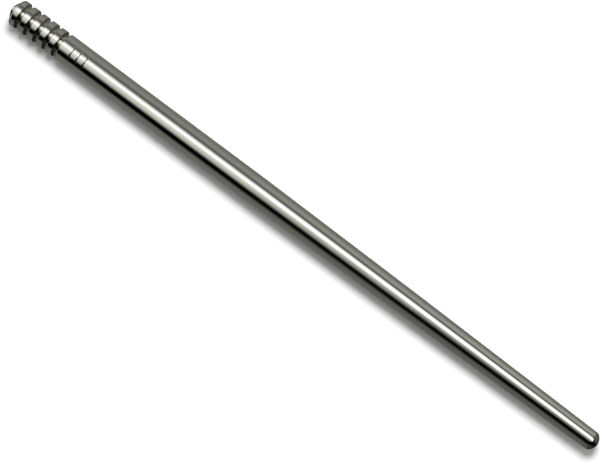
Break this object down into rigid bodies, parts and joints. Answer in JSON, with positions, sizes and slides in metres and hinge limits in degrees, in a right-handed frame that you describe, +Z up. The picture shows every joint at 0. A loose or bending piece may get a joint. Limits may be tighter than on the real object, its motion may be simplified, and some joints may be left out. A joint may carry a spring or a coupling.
{
  "type": "carburettor jet needle",
  "caption": "Slim turned steel metering needle with clip grooves at a conical head, a straight shank, two long tapers and a domed point.",
  "frame": {"origin": "on the needle's axis, in the middle of the middle clip groove, where the clip holds it", "axes": "+X along the needle towards its point; it lies level, with +Z up, and the index mark faces up and a little towards -Y"},
  "size_m": [0.062, 0.0026, 0.0026],
  "materials": {
    "steel": "polished"
  },
  "bodies": {
    "root": {"jet_needle": "steel"}
  },
  "joints": []
}
